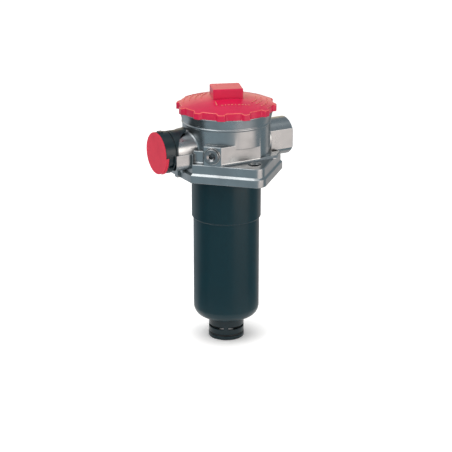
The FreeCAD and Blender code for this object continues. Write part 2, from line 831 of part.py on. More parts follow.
def outlet_spigot():
    shoulder = bowl_bottom - 0.2
    barb_r = spigot_neck_r + spigot_barb
    barb_low = bowl_spout_top + 0.2
    lip_r = spigot_r + lip_extra
    body = tube_profile([
        (spigot_neck_inner_r, spigot_neck_top), (spigot_neck_r, spigot_neck_top),
        (barb_r, spigot_neck_top - spigot_barb_slope), (barb_r, barb_low), (spigot_neck_r, barb_low),
        (spigot_neck_r, shoulder), (spigot_r, shoulder),
        (spigot_r, spigot_bottom + lip_height + lip_extra), (lip_r, spigot_bottom + lip_height),
        (lip_r, spigot_bottom + lip_edge), (lip_r - lip_edge, spigot_bottom),
        (spigot_inner_r, spigot_bottom), (spigot_inner_r, bowl_bottom - spigot_throat_low),
        (spigot_neck_inner_r, bowl_bottom - spigot_throat_high),
    ])
    half_groove = groove_width / 2
    body = body.cut(ring(spigot_r + 2, spigot_r - groove_depth, groove_z - half_groove,
                         groove_z + half_groove))
    low = window_top - window_height
    sweep = 360.0 / window_count
    half_web = degrees(window_web / 2 / spigot_r)
    slot = Part.makeCylinder(spigot_r + 3, window_height, vec(0, 0, low), vec(0, 0, 1), sweep - 2 * half_web)
    slot = slot.cut(disc(spigot_inner_r - 3, low - 1, window_top + 1))
    for i in range(window_count):
        body = body.cut(turned(slot, window_turn + half_web + sweep * i))
    return body


def outlet_seal():
    wire_r = groove_width / 2 - 2 * seal_gap
    mid_r = spigot_r - groove_depth + seal_gap + wire_r
    return Part.makeTorus(mid_r, wire_r, vec(0, 0, groove_z), vec(0, 0, 1))


# Inlet coupling

def sleeve_arch(left):
    """Cutter that leaves only a tongue on top of the neck, with a rounded arch."""
    x = sleeve_side_start
    z = sleeve_arch_side
    r = sleeve_arch_r
    side = -sleeve_r - 5
    points = [
        vec(left, side, 0), vec(x, side, 0), vec(x, side, z - r), vec(x - r, side, z), vec(left, side, z),
    ]
    middle = vec(x - r * half_tilt, side, z - r * half_tilt)
    edges = [
        Part.makeLine(points[0], points[1]), Part.makeLine(points[1], points[2]),
        Part.Arc(points[2], middle, points[3]).toShape(), Part.makeLine(points[3], points[4]),
        Part.makeLine(points[4], points[0]),
    ]
    return Part.Face(Part.Wire(edges)).extrude(vec(0, -2 * side, 0))


def latch_frame():
    frame = box(frame_start, frame_start + frame_length, frame_r / 2, frame_r, frame_low, frame_high)
    return frame.common(pipe(frame_r, sleeve_inner_r, frame_start - 1, frame_start + frame_length + 1))


def latch_window():
    """Cutter of the window inside the latch frame; it stops above the inner wall."""
    x0 = frame_start + frame_edge
    x1 = frame_start + frame_length - frame_edge
    low = frame_low + frame_edge
    window = box(x0, x1, sleeve_inner_r + 1.0, sleeve_r + 9, low, frame_high - frame_edge + 0.1)
    window_low = box(x0, x1, sleeve_inner_r / 2, sleeve_r + 9, low, low + 5)
    return window.fuse(window_low).cut(bar(sleeve_ring_r - 1.6, x0 - 1, x1 + 1))


def port_sleeve():
    past = sleeve_r + 5
    left = sleeve_tongue_start - 2
    groove_end = sleeve_low_start + 0.1
    body = pipe(sleeve_r, sleeve_inner_r, sleeve_tongue_start, sleeve_end)
    body = body.fuse(pipe(sleeve_ring_r, sleeve_inner_r, sleeve_low_start + 0.9, sleeve_end))
    body = body.fuse(pipe(sleeve_r, sleeve_mouth_r, sleeve_step, sleeve_end))
    body = body.cut(pipe(past, sleeve_r - sleeve_groove_depth, groove_end - sleeve_groove_width, groove_end))
    body = body.cut(sleeve_arch(left))
    body = body.cut(box(left, sleeve_low_start, -past, past, -past, 0.01))
    tip_middle = sleeve_tongue_start + tongue_tip_r - 0.4
    tip = box(left, sleeve_tongue_start + tongue_tip_length, -sleeve_r, sleeve_r, tongue_low, past)
    rounded = Part.makeCylinder(tongue_tip_r, past, vec(tip_middle, 0, tongue_low - 1))
    body = body.cut(tip.cut(rounded))
    body = body.fuse(latch_frame()).cut(latch_window())
    lug_start = sleeve_end - 1.8 - lug_length
    lug = box(lug_start, lug_start + lug_length, -lug_half, lug_half, sleeve_r / 2, sleeve_ring_r + lug_proud)
    lug = lug.cut(bar(sleeve_ring_r - 0.5, lug_start - 1, sleeve_end))
    notch_start = sleeve_side_start - notch_length
    notch = box(notch_start, sleeve_side_start, -notch_half, notch_half, sleeve_r - 0.5, past)
    return to_port(body.fuse(lug).cut(notch).removeSplitter(), inlet_angle)


def protective_cap():
    plug_start = sleeve_end - cap_plug_length
    face = bar(cap_disc_r, cap_start, cap_disc_end)
    face = face.makeFillet(cap_edge_r, [e for e in face.Edges if e.BoundBox.XMin > cap_disc_end - 0.01])
    plug = pipe(cap_plug_r, cap_plug_r - cap_plug_wall, plug_start, cap_start + 0.2)
    reach = cap_plug_r - cap_plug_wall / 2
    web = box(plug_start + 2, cap_start + 0.2, -cap_web_half, cap_web_half, -reach, reach)
    cross = box(plug_start + 2, cap_start + 0.2, -reach, reach, -cap_web_half, cap_web_half)
    tab = pipe(tab_inner_r + tab_thick, tab_inner_r, cap_start - tab_length, cap_start + 0.3)
    tab = tab.fuse(pipe(tab_inner_r + tab_thick, cap_disc_r - 2, cap_start, cap_disc_end))
    spoke = 2 * cap_disc_r
    fan = [vec(plug_start, 0, 0)]
    for angle in (tab_to, (tab_to + tab_from) / 2, tab_from):
        fan.append(vec(plug_start, spoke * cos(radians(angle)), spoke * sin(radians(angle))))
    tab = tab.common(closed_face(fan).extrude(vec(cap_disc_end - plug_start + 1, 0, 0)))
    return to_port(fuse_all([face, plug, web, cross, tab]), inlet_angle)


def sleeve_seal():
    mid_r = sleeve_inner_r - seal_gap - sleeve_seal_r
    middle = vec(neck_end + seal_gap + sleeve_seal_r, 0, 0)
    return to_port(Part.makeTorus(mid_r, sleeve_seal_r, middle, vec(1, 0, 0)), inlet_angle)


# Screw plug

def hexagon(across, y, depth):
    r = across / 2 / cos(radians(30))
    points = []
    for i in range(6):
        a = radians(60 * i + 30)
        points.append(vec(plug_x + r * cos(a), y, plug_z + r * sin(a)))
    return closed_face(points).extrude(vec(0, depth, 0))


def screw_plug():
    back = -block_front - plug_seal_thick
    front = back - plug_collar_height
    collar = peg(plug_collar_r, plug_x, front, plug_z, plug_collar_height)
    collar = collar.makeFillet(plug_edge_r, [e for e in collar.Edges if e.BoundBox.YMax < front + 0.1])
    shank = peg(plug_shank_r, plug_x, back - 0.1, plug_z, plug_shank_length)
    dish = Part.makeCone(plug_dish_r, plug_dish_low_r, plug_dish_depth,
                         vec(plug_x, front - 0.01, plug_z), vec(0, 1, 0))
    socket = hexagon(plug_socket, front - 0.6, plug_socket_depth + 0.6)
    return collar.fuse(shank).cut(socket).cut(dish).removeSplitter()


def plug_seal():
    start = -block_front - plug_seal_thick
    washer = peg(plug_seal_r, plug_x, start, plug_z, plug_seal_thick)
    return washer.cut(peg(plug_shank_r + seal_gap, plug_x, start - 1, plug_z, plug_seal_thick + 2))


# Element, hanging on the cover's hub

def element_top_cap():
    plate = disc(element_cap_r, element_top, element_top + element_cap_thick)
    skirt = ring(element_cap_r, element_cap_r - element_cap_wall, element_top - element_cap_edge,
                 element_top + 0.1)
    tower_inner_r = tower_neck_r - tower_wall
    tower_top = skirt_low - gap
    clip_room = hub_low + clip_up + clip_height + gap
    foot_top = element_top + 10
    hub_hole_r = hub_r + gap
    tower = tube_profile([
        (tower_inner_r, element_top + 1), (tower_foot_r, element_top + 1), (tower_foot_r, foot_top),
        (tower_neck_r, foot_top + 2.5), (tower_neck_r, tower_top - 3.7), (tower_inner_r, tower_top - 2.6),
        (tower_inner_r, tower_top), (hub_hole_r, tower_top), (hub_hole_r, clip_room),
        (tower_inner_r - 0.4, clip_room), (tower_inner_r - 0.4, foot_top + 4), (tower_inner_r, foot_top + 2),
    ])
    body = fuse_all([plate, skirt, tower])
    body = body.cut(disc(valve_seat_r, element_top - 1, element_top + element_cap_thick + 1))
    half = tower_window / 2
    port = box(valve_seat_r - 1, tower_foot_r + 4, -half, half, foot_top + 6, foot_top + 22)
    for i in range(4):
        body = body.cut(turned(port, 90 * i + 45))
    return body


def element_media():
    """Pleated medium: a zigzag wall folded round the core."""
    outer = []
    inner = []
    step = 2 * pi / pleat_count
    fold_r = element_inner_r + pleat_thick
    tip_r = element_r - 3.6 * pleat_thick
    for i in range(pleat_count):
        a = i * step
        b = (i + 0.5) * step
        outer.append((element_r * cos(a), element_r * sin(a)))
        outer.append((fold_r * cos(b), fold_r * sin(b)))
        inner.append((tip_r * cos(a), tip_r * sin(a)))
        inner.append((element_inner_r * cos(b), element_inner_r * sin(b)))
    wall = prism(outer, element_bottom, element_top)
    return wall.cut(prism(inner, element_bottom - 1, element_top + 1))


def element_core():
    """Steel tube with rows of slots, turned by half a slot from row to row."""
    tube = ring(core_r, core_r - core_wall, element_bottom, element_top)
    length = element_top - element_bottom
    row_step = (length - 2 * core_margin - core_slot_length) / (core_rows - 1)
    half = core_slot_width / 2
    holes = []
    for row in range(core_rows):
        z = element_bottom + core_margin + row * row_step
        slot = box(core_r - core_wall - 2, core_r + 2, -half, half, z, z + core_slot_length)
        for i in range(8):
            holes.append(turned(slot, 45 * i + 22.5 * (row % 2)))
    return tube.cut(Part.makeCompound(holes))


def element_bottom_cap():
    low = element_bottom - element_cap_thick
    plate = disc(element_cap_r, low, element_bottom)
    skirt = ring(element_cap_r, element_cap_r - element_cap_wall, element_bottom - 0.1,
                 element_bottom + element_cap_edge)
    stub = ring(stub_r, stub_r - stub_wall, stub_bottom, low + 0.1)
    body = fuse_all([plate, skirt, stub]).cut(disc(stub_r - stub_wall, stub_bottom - 1, element_bottom + 1))
    groove_low = stub_bottom + stub_groove_up
    return body.cut(ring(stub_r + 1, stub_groove_r, groove_low, groove_low + stub_groove_height))


def element_seal():
    z = stub_bottom + stub_groove_up + stub_groove_height / 2
    return seal_between(stub_groove_r, spigot_neck_inner_r, z)


def bypass_cage():
    floor_top = cage_bottom + cage_floor
    wall = ring(cage_r, cage_inner_r, floor_top, element_top)
    floor = ring(cage_r, cage_guide_bore, cage_bottom, floor_top + 0.1)
    guide = ring(cage_guide_r, cage_guide_bore, cage_bottom, cage_bottom + cage_guide_height)
    body = fuse_all([wall, floor, guide])
    half = cage_window / 2
    slot = box(cage_inner_r - 4, cage_r + 6, -half, half, floor_top + 4, element_top - 5)
    for i in range(4):
        body = body.cut(turned(slot, 90 * i))
    return body


def bypass_cone():
    top = element_top - 0.02
    under = top - valve_disc_thick
    seat_r = spring_r + 2 * spring_wire_r
    pilot_r = spring_r - spring_wire_r - 0.8
    return tube_profile([
        (0, top), (valve_disc_r, top), (valve_disc_r, under), (seat_r, under - 1.8),
        (pilot_r, under - 1.8), (pilot_r, under - 4.4), (valve_stem_r, under - 6.4),
        (valve_stem_r, cage_bottom + 3.0), (0, cage_bottom + 3.0),
    ])


def bypass_spring():
    low = cage_bottom + cage_floor + 0.8
    high = element_top - valve_disc_thick - 2.5
    height = high - low - 2 * spring_wire_r
    helix = Part.makeHelix(height / spring_turns, height, spring_r)
    helix.translate(vec(0, 0, low + spring_wire_r))
    section = Part.Wire(Part.makeCircle(spring_wire_r, vec(spring_r, 0, low + spring_wire_r), vec(0, 1, 0)))
    return Part.Wire(helix).makePipeShell([section], True, True)


nodes = [
    filter_head, cover, cover_seal, hub_clip, filter_bowl, bowl_seal, flange_seal, outlet_spigot,
    outlet_seal, port_sleeve, sleeve_seal, protective_cap, screw_plug, plug_seal, element_top_cap,
    element_media, element_core, element_bottom_cap, element_seal, bypass_cage, bypass_cone,
    bypass_spring,
]

os.makedirs("parts", exist_ok=True)
for make in nodes:
    shape = make()
    shape.exportStep("parts/" + make.__name__ + ".step")
    b = shape.BoundBox
    print(make.__name__, "solids", len(shape.Solids), "valid", shape.isValid(),
          "volume", round(shape.Volume), "z", round(b.ZMin, 1), round(b.ZMax, 1))
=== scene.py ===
import json
import math

import bpy
from mathutils import Matrix, Vector


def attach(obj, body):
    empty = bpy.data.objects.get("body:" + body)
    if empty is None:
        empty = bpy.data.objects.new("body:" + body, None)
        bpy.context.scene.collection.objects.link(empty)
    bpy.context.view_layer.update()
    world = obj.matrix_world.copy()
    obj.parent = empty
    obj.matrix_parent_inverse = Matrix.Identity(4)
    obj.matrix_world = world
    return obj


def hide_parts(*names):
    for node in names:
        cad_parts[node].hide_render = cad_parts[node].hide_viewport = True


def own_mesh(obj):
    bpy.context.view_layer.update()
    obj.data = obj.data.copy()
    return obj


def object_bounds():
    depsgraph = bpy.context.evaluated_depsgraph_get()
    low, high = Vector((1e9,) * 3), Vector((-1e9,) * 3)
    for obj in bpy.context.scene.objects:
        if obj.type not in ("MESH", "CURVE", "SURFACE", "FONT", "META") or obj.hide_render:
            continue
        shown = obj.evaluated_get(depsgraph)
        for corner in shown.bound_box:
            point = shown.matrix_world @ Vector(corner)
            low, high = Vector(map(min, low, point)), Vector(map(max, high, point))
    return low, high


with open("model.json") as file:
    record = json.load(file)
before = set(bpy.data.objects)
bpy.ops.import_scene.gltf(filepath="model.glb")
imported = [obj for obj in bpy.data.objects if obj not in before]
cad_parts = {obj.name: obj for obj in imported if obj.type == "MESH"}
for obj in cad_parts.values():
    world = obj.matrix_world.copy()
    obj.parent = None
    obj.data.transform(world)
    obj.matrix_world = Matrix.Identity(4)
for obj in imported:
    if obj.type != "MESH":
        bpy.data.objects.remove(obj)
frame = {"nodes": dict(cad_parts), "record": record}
cad_low, cad_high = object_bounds()


# Filter head
# One aluminium die casting carries the flange, the two ports, the plug block and the ledge.
# Its skin is as cast; only the bores, the seats and the port faces are machined.

smooth_up_to_deg = 32.0
merge_gap = 0.000002


def choose_only(piece):
    """Make this piece the only one that the operators act on."""
    bpy.ops.object.select_all(action="DESELECT")
    piece.select_set(True)
    bpy.context.view_layer.objects.active = piece


def shade_piece(piece, smooth_deg):
    """Shade curved faces smooth, and keep large faces flat beside their rounded edges."""
    choose_only(piece)
    if piece.data.has_custom_normals:
        bpy.ops.mesh.customdata_custom_splitnormals_clear()
    bpy.ops.object.shade_smooth_by_angle(angle=math.radians(smooth_deg))
    bpy.ops.object.modifier_add(type="WEIGHTED_NORMAL")
    piece.modifiers[-1].keep_sharp = True
    bpy.ops.object.modifier_apply(modifier=piece.modifiers[-1].name)


def joined_copy(node, piece_name, smooth_deg=smooth_up_to_deg):
    """The node's own form as one closed mesh, with its curved faces shaded smooth."""
    mesh = frame["nodes"][node].data.copy()
    mesh.name = piece_name
    mesh.materials.clear()
    piece = bpy.data.objects.new(piece_name, mesh)
    bpy.context.scene.collection.objects.link(piece)
    choose_only(piece)
    bpy.ops.object.mode_set(mode="EDIT")
    bpy.ops.mesh.select_all(action="SELECT")
    bpy.ops.mesh.remove_doubles(threshold=merge_gap)
    bpy.ops.object.mode_set(mode="OBJECT")
    shade_piece(piece, smooth_deg)
    return piece


def finish_group(name, inputs, outputs):
    """Empty node group with the named inputs and outputs."""
    group = bpy.data.node_groups.new(name, "ShaderNodeTree")
    for label, kind, value in inputs:
        socket = group.interface.new_socket(label, in_out="INPUT", socket_type=kind)
        socket.default_value = value
    for label, kind in outputs:
        group.interface.new_socket(label, in_out="OUTPUT", socket_type=kind)
    entry = group.nodes.new("NodeGroupInput")
    leave = group.nodes.new("NodeGroupOutput")
    return group, entry, leave


def math_node(tree, operation, *values):
    """Result of a math node whose inputs are sockets or numbers."""
    node = tree.nodes.new("ShaderNodeMath")
    node.operation = operation
    for socket, value in zip(node.inputs, values):
        if isinstance(value, bpy.types.NodeSocket):
            tree.links.new(value, socket)
        else:
            socket.default_value = value
    return node.outputs[0]


def ranged(tree, value, start, end, low=0.0, high=1.0):
    """Value that runs from low to high while the given one runs from start to end."""
    node = tree.nodes.new("ShaderNodeMapRange")
    node.inputs["From Min"].default_value = start
    node.inputs["From Max"].default_value = end
    node.inputs["To Min"].default_value = low
    node.inputs["To Max"].default_value = high
    tree.links.new(value, node.inputs["Value"])
    return node.outputs[0]


def noise(tree, place, scale, detail, roughness=0.5, distortion=0.0):
    """Noise pattern laid on the piece, with its scale from a socket."""
    node = tree.nodes.new("ShaderNodeTexNoise")
    node.inputs["Detail"].default_value = detail
    node.inputs["Roughness"].default_value = roughness
    node.inputs["Distortion"].default_value = distortion
    tree.links.new(place, node.inputs["Vector"])
    tree.links.new(scale, node.inputs["Scale"])
    return node.outputs[0]


# Grain: fine lumps of a cast or moulded skin, as a height, and slow patches, as a mask
grain_group, grain_in, grain_out = finish_group(
    "skin_grain",
    [("Fine Scale", "NodeSocketFloat", 900.0), ("Patch Scale", "NodeSocketFloat", 40.0)],
    [("Height", "NodeSocketFloat"), ("Patches", "NodeSocketFloat")],
)
grain_place = grain_group.nodes.new("ShaderNodeTexCoord").outputs["Object"]
lumps = noise(grain_group, grain_place, grain_in.outputs["Fine Scale"], detail=3.0, roughness=0.6)
clouds = noise(
    grain_group, grain_place, grain_in.outputs["Patch Scale"],
    detail=4.0, roughness=0.55, distortion=0.4,
)
patches = ranged(grain_group, clouds, start=0.3, end=0.7)
grain_group.links.new(lumps, grain_out.inputs["Height"])
grain_group.links.new(patches, grain_out.inputs["Patches"])

# Edges lightened, partly as wear and partly as painted highlight: where a wide soft edge turns
# away from the true surface, broken up by a noise
edge_samples = 12
edge_turn_start = 0.975
edge_turn_full = 0.90
least_break = 0.2
break_spread = 1.2
edge_group, edge_in, edge_out = finish_group(
    "rubbed_and_highlit_edges",
    [("Width", "NodeSocketFloat", 0.0006), ("Breaks", "NodeSocketFloat", 260.0)],
    [("Mask", "NodeSocketFloat"), ("Normal", "NodeSocketVector")],
)
soft_edge = edge_group.nodes.new("ShaderNodeBevel")
soft_edge.samples = edge_samples
edge_group.links.new(edge_in.outputs["Width"], soft_edge.inputs["Radius"])
true_face = edge_group.nodes.new("ShaderNodeNewGeometry")
turn = edge_group.nodes.new("ShaderNodeVectorMath")
turn.operation = "DOT_PRODUCT"
edge_group.links.new(soft_edge.outputs[0], turn.inputs[0])
edge_group.links.new(true_face.outputs["Normal"], turn.inputs[1])
turned_away = ranged(edge_group, turn.outputs["Value"], start=edge_turn_start, end=edge_turn_full)
edge_place = edge_group.nodes.new("ShaderNodeTexCoord").outputs["Object"]
breaks = noise(edge_group, edge_place, edge_in.outputs["Breaks"], detail=2.0)
broken = math_node(edge_group, "MULTIPLY_ADD", breaks, break_spread, least_break)
worn_and_lit_mask = math_node(edge_group, "MULTIPLY", turned_away, broken)
edge_group.links.new(worn_and_lit_mask, edge_out.inputs["Mask"])
edge_group.links.new(soft_edge.outputs[0], edge_out.inputs["Normal"])

# Painted corner shade: the little light that reaches inner corners, as a mask that darkens the
# colour there
corner_shade_samples = 12
open_light = 0.85
corner_light = 0.35
corner_shade_group, corner_shade_in, corner_shade_out = finish_group(
    "painted_corner_shade", [("Reach", "NodeSocketFloat", 0.004)], [("Mask", "NodeSocketFloat")]
)
shade = corner_shade_group.nodes.new("ShaderNodeAmbientOcclusion")
shade.samples = corner_shade_samples
corner_shade_group.links.new(corner_shade_in.outputs["Reach"], shade.inputs["Distance"])
shaded_corners = ranged(corner_shade_group, shade.outputs["AO"], start=open_light, end=corner_light)
corner_shade_group.links.new(shaded_corners, corner_shade_out.inputs["Mask"])


def add_group(finish, group, **values):
    """Place a shared effect in a material with its own values."""
    node = finish.node_tree.nodes.new("ShaderNodeGroup")
    node.node_tree = group
    for label, value in values.items():
        node.inputs[label.replace("_", " ")].default_value = value
    return node


def blend_colours(finish, share, first, second):
    """Mix two colours, or a colour socket and a colour, by a mask."""
    mix = finish.node_tree.nodes.new("ShaderNodeMix")
    mix.data_type = "RGBA"
    links = finish.node_tree.links
    links.new(share, mix.inputs["Factor"])
    for socket, value in ((mix.inputs[6], first), (mix.inputs[7], second)):
        if isinstance(value, bpy.types.NodeSocket):
            links.new(value, socket)
        else:
            socket.default_value = (*value, 1.0)
    return mix.outputs[2]


def darkened(colour, share):
    """The same colour with less light in it."""
    return tuple(c * share for c in colour)


def skin_relief(finish, grain, edges, rough_low, rough_high, depth, strength):
    """Vary the roughness with the grain's patches, and raise its lumps over the soft edges."""
    tree = finish.node_tree
    shader = tree.nodes["Principled BSDF"]
    rough = ranged(tree, grain.outputs["Patches"], 0.0, 1.0, rough_low, rough_high)
    tree.links.new(rough, shader.inputs["Roughness"])
    bump = tree.nodes.new("ShaderNodeBump")
    bump.inputs["Strength"].default_value = strength
    bump.inputs["Distance"].default_value = depth
    tree.links.new(grain.outputs["Height"], bump.inputs["Height"])
    tree.links.new(edges.outputs["Normal"], bump.inputs["Normal"])
    tree.links.new(bump.outputs[0], shader.inputs["Normal"])


def metal_finish(name, colour, rubbed_and_highlit, rough, grain_size, grain_depth, painted_shade_share):
    """Metal with a grained skin, edges lightened partly as wear and partly as painted highlight,
    and painted shade darkening its inner corners.
    """
    finish = bpy.data.materials.new(name)
    finish.use_nodes = True
    shader = finish.node_tree.nodes["Principled BSDF"]
    shader.inputs["Metallic"].default_value = 1.0
    grain = add_group(finish, grain_group, Fine_Scale=grain_size, Patch_Scale=45.0)
    edges = add_group(finish, edge_group, Width=0.0007, Breaks=300.0)
    painted_shade = add_group(finish, corner_shade_group, Reach=0.005)
    tint = blend_colours(finish, grain.outputs["Patches"], colour, darkened(colour, share=0.82))
    # edges lightened, partly wear and partly painted highlight
    tint = blend_colours(finish, edges.outputs["Mask"], tint, rubbed_and_highlit)
    # painted shade: the colour is darkened in inner corners, where less light reaches
    tint = blend_colours(finish, painted_shade.outputs["Mask"], tint, darkened(colour, share=painted_shade_share))
    finish.node_tree.links.new(tint, shader.inputs["Base Color"])
    skin_relief(
        finish, grain, edges, rough_low=rough - 0.04, rough_high=rough + 0.06,
        depth=grain_depth, strength=0.6,
    )
    return finish


cast_finish = metal_finish(
    "cast_aluminium_skin", colour=(0.40, 0.42, 0.43), rubbed_and_highlit=(0.66, 0.67, 0.67),
    rough=0.29, grain_size=1400.0, grain_depth=0.00002, painted_shade_share=0.35,
)
machined_finish = metal_finish(
    "machined_port_metal", colour=(0.46, 0.47, 0.47), rubbed_and_highlit=(0.70, 0.70, 0.70),
    rough=0.22, grain_size=1400.0, grain_depth=0.00001, painted_shade_share=0.5,
)
head = joined_copy("filter_head", "head_casting")
head.data.materials.append(cast_finish)
head.data.materials.append(machined_finish)

# The outlet boss looks along the diagonal and has a wrench flat on each side
port = next(row for row in frame["record"]["mounts"] if row["name"] == "outlet_port")
port_direction = math.atan2(port["axis"][1], port["axis"][0])
port_height = port["pos_m"][2]
boss_radius = 0.0229
flat_reach = 0.0195
flat_back = 0.0500
flat_front = 0.0580
flat_skin = 0.00002
cutter_margin = 0.002
cutter_height = 2.1 * boss_radius


def cut_flat(side_sign):
    """Carry one wrench flat of the outlet boss back to the body."""
    bpy.ops.object.select_all(action="DESELECT")
    bpy.ops.mesh.primitive_cube_add(size=1.0)
    cutter = bpy.context.object
    bpy.ops.object.mode_set(mode="EDIT")
    bpy.ops.mesh.select_all(action="SELECT")
    thick = boss_radius + cutter_margin - flat_reach
    out = flat_reach + flat_skin + thick / 2
    bpy.ops.transform.resize(value=(flat_front - flat_back, thick, cutter_height))
    bpy.ops.transform.translate(value=((flat_back + flat_front) / 2, side_sign * out, port_height))
    bpy.ops.object.mode_set(mode="OBJECT")
    cutter.data.transform(Matrix.Rotation(port_direction, 4, "Z"))
    choose_only(head)
    bpy.ops.object.modifier_add(type="BOOLEAN")
    head.modifiers[-1].operation = "DIFFERENCE"
    head.modifiers[-1].solver = "EXACT"
    head.modifiers[-1].object = cutter
    bpy.ops.object.modifier_apply(modifier=head.modifiers[-1].name)
    bpy.data.objects.remove(cutter)


cut_flat(1.0)
cut_flat(-1.0)
shade_piece(head, smooth_up_to_deg)

# The port's wall is machined back to the root of the thread
thread_start = 0.0615
thread_end = 0.0800
bore_radius = port["dims"]["r_mm"] / 1000
root_radius = 0.01655
wall_slack = 0.00006
start_slack = 0.0001
machined_radius = 0.0168
machined_lead = 0.0005
port_frame = (
    Matrix.Translation((0.0, 0.0, port_height))
    @ Matrix.Rotation(port_direction, 4, "Z")
    @ Matrix.Rotation(math.radians(90.0), 4, "Y")
)
to_port = port_frame.inverted()
for corner in head.data.vertices:
    spot = to_port @ corner.co
    reach = math.hypot(spot.x, spot.y)
    if abs(reach - bore_radius) < wall_slack and thread_start - start_slack < spot.z < thread_end:
        grown = root_radius / reach
        corner.co = port_frame @ Vector((spot.x * grown, spot.y * grown, spot.z))
for face in head.data.polygons:
    spot = to_port @ face.center
    if math.hypot(spot.x, spot.y) < machined_radius and spot.z > thread_start - machined_lead:
        face.material_index = 1

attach(head, "housing")
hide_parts("filter_head")


# Port thread
# The outlet boss takes a one inch pipe thread, cut straight into the casting.
# It is one helical ridge, wide at its root in the bore's wall and narrow at its crest.

thread_pitch = 0.00231
thread_turns = 7
turn_steps = 40
crest_half = 0.0002
root_half = 0.00112
root_sink = 0.00004
mouth_gap = 0.0001
ridge_smooth_deg = 30.0

bpy.ops.object.select_all(action="DESELECT")
bpy.ops.mesh.primitive_plane_add(size=1.0)
port_thread = bpy.context.object
port_thread.name = "port_thread"
middle_radius = (root_radius + bore_radius) / 2
bpy.ops.object.mode_set(mode="EDIT")
bpy.ops.mesh.select_all(action="SELECT")
bpy.ops.transform.rotate(
    value=math.radians(90.0), orient_axis="X", center_override=(0.0, 0.0, 0.0)
)
bpy.ops.transform.resize(value=(root_radius - bore_radius, 1.0, 2 * root_half))
bpy.ops.transform.translate(value=(middle_radius + root_sink, 0.0, 0.0))
bpy.ops.object.mode_set(mode="OBJECT")
for corner in port_thread.data.vertices:
    if corner.co.x < middle_radius:
        corner.co.z *= crest_half / root_half
choose_only(port_thread)
bpy.ops.object.modifier_add(type="SCREW")
sweep = port_thread.modifiers[-1]
sweep.axis = "Z"
sweep.screw_offset = thread_pitch
sweep.iterations = thread_turns
sweep.steps = turn_steps
sweep.render_steps = turn_steps
bpy.ops.object.modifier_apply(modifier=sweep.name)
first_turn = Matrix.Translation((0.0, 0.0, thread_start + root_half + mouth_gap))
port_thread.data.transform(port_frame @ first_turn)
bpy.ops.object.mode_set(mode="EDIT")
bpy.ops.mesh.select_all(action="SELECT")
bpy.ops.mesh.remove_doubles(threshold=merge_gap)
bpy.ops.mesh.fill_holes(sides=4)
bpy.ops.mesh.normals_make_consistent(inside=False)
bpy.ops.object.mode_set(mode="OBJECT")
bpy.ops.object.shade_smooth_by_angle(angle=math.radians(ridge_smooth_deg))
port_thread.data.materials.clear()
port_thread.data.materials.append(machined_finish)
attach(port_thread, "housing")


# Bowl
# A long moulded tube of black glass-filled plastic hangs in the head by its thick rim.
# It is slightly smaller below a step, and its foot is rounded.

def moulded_finish(
    name, colour, worn_and_highlit, rough, gloss, grain_size=1600.0, grain_depth=0.00002, coat=0.0
):
    """Moulded plastic with a fine skin, slow patches of gloss, paler edges that are partly wear
    and partly painted highlight, and painted shade in inner corners.
    """
    finish = bpy.data.materials.new(name)
    finish.use_nodes = True
    tree = finish.node_tree
    shader = tree.nodes["Principled BSDF"]
    shader.inputs["Specular IOR Level"].default_value = gloss
    shader.inputs["Coat Weight"].default_value = coat
    shader.inputs["Coat Roughness"].default_value = 0.14
    grain = add_group(finish, grain_group, Fine_Scale=grain_size, Patch_Scale=28.0)
    edges = add_group(finish, edge_group, Width=0.0005, Breaks=400.0)
    painted_shade = add_group(finish, corner_shade_group, Reach=0.004)
    wear_and_highlight = ranged(tree, edges.outputs["Mask"], 0.0, 1.0, low=0.0, high=0.45)
    tint = blend_colours(finish, grain.outputs["Patches"], colour, darkened(colour, share=0.86))
    # edges lightened, partly wear and partly painted highlight
    tint = blend_colours(finish, wear_and_highlight, tint, worn_and_highlit)
    # painted shade: the colour is darkened in inner corners, where less light reaches
    tint = blend_colours(finish, painted_shade.outputs["Mask"], tint, darkened(colour, share=0.62))
    tree.links.new(tint, shader.inputs["Base Color"])
    skin_relief(
        finish, grain, edges, rough_low=rough - 0.04, rough_high=rough + 0.05,
        depth=grain_depth, strength=0.5,
    )
    return finish


bowl_finish = moulded_finish(
    "bowl_black_plastic", colour=(0.001, 0.030, 0.042), worn_and_highlit=(0.04, 0.08, 0.10),
    rough=0.32, gloss=0.32,
)
bowl = joined_copy("filter_bowl", "bowl_moulding")
bowl.data.materials.append(bowl_finish)
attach(bowl, "housing")
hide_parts("filter_bowl")


# Outlet spigot
# The short black outlet clips into the bowl's foot; oil leaves through its slots.
# It is moulded in one piece, with a groove for a seal ring near its lower lip.

outlet_finish = moulded_finish(
    "outlet_black_plastic", colour=(0.002, 0.018, 0.025), worn_and_highlit=(0.04, 0.07, 0.08),
    rough=0.30, gloss=0.32,
)
spigot = joined_copy("outlet_spigot", "outlet_moulding")
spigot.data.materials.append(outlet_finish)
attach(spigot, "housing")
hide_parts("outlet_spigot")


# Seal rings
# Plain round rings of black oil-proof rubber, moulded to size.
# Each is pressed into its own groove and held there by its neighbour.

rubber_finish = moulded_finish(
    "seal_black_rubber", colour=(0.012, 0.012, 0.012), worn_and_highlit=(0.04, 0.04, 0.04),
    rough=0.55, gloss=0.4, grain_size=1200.0,
)
seal_smooth_deg = 60.0
seal_bodies = {
    "cover_seal": "cover", "bowl_seal": "housing", "flange_seal": "housing",
    "outlet_seal": "housing", "sleeve_seal": "housing", "element_seal": "cartridge",
}
for node, body in seal_bodies.items():
    ring = joined_copy(node, node + "_ring", seal_smooth_deg)
    ring.data.materials.append(rubber_finish)
    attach(ring, body)
    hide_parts(node)


# Cover
# The red screw cover is moulded in one piece, with knobs round its rim for the hand
# and a square block on top for a wrench. The rounded edge of its upper rim is painted a paler red
# as a highlight.

